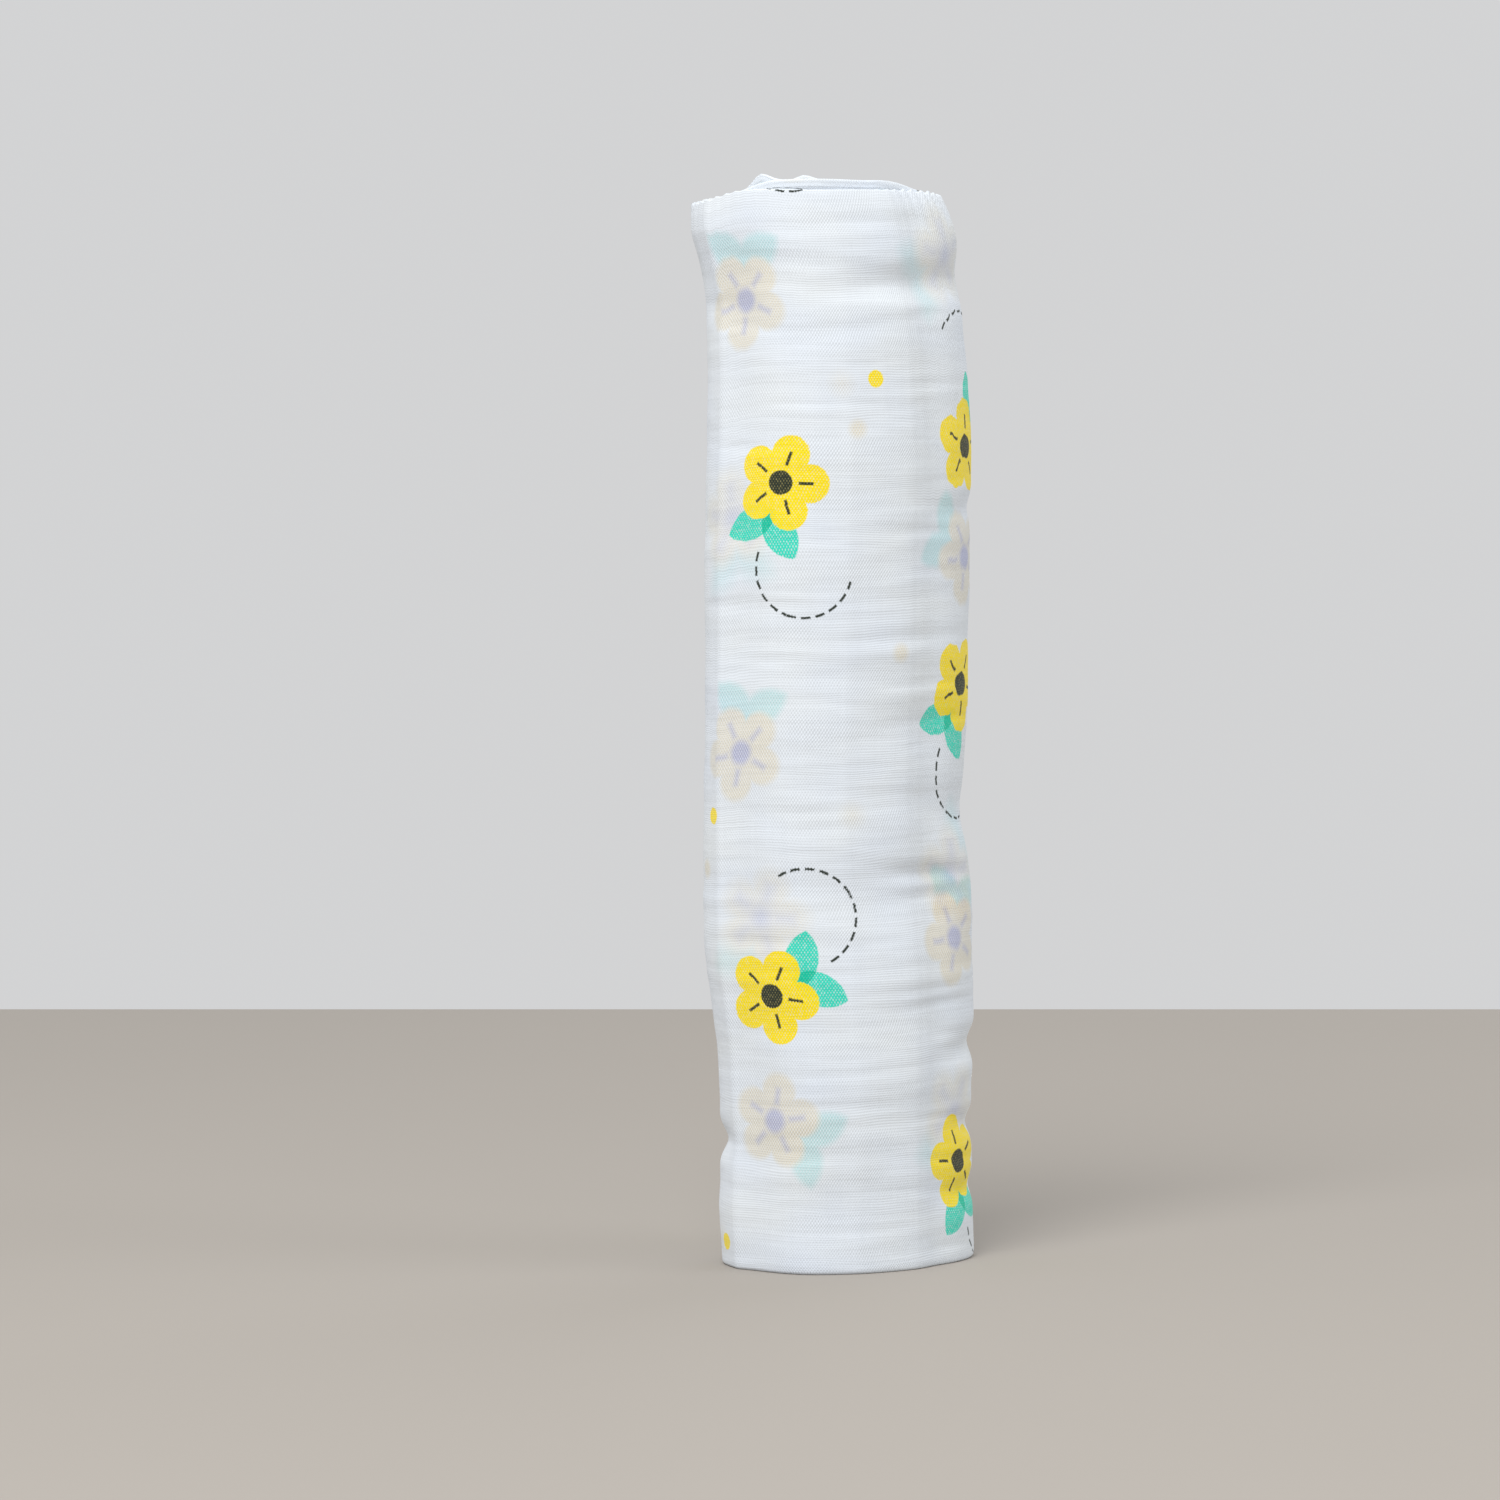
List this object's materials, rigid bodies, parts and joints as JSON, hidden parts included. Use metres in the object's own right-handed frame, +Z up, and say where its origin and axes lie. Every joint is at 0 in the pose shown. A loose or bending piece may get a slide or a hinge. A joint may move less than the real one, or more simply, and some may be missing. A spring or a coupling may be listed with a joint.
{
  "type": "swaddle blanket",
  "caption": "Swaddle blanket of printed muslin, folded lengthwise into a strip, rolled up and standing on one end.",
  "frame": {"origin": "on the floor under the middle of the standing roll's box", "axes": "+Z up along the roll, from the foot to the wound top; -Y is the side that faces the viewer"},
  "size_m": [0.0788, 0.064, 0.3],
  "materials": {
    "muslin": "white crinkled double gauze with a small print in yellow, charcoal and mint, matt and a little sheer"
  },
  "bodies": {
    "root": {"blanket_roll": "muslin"}
  },
  "joints": []
}
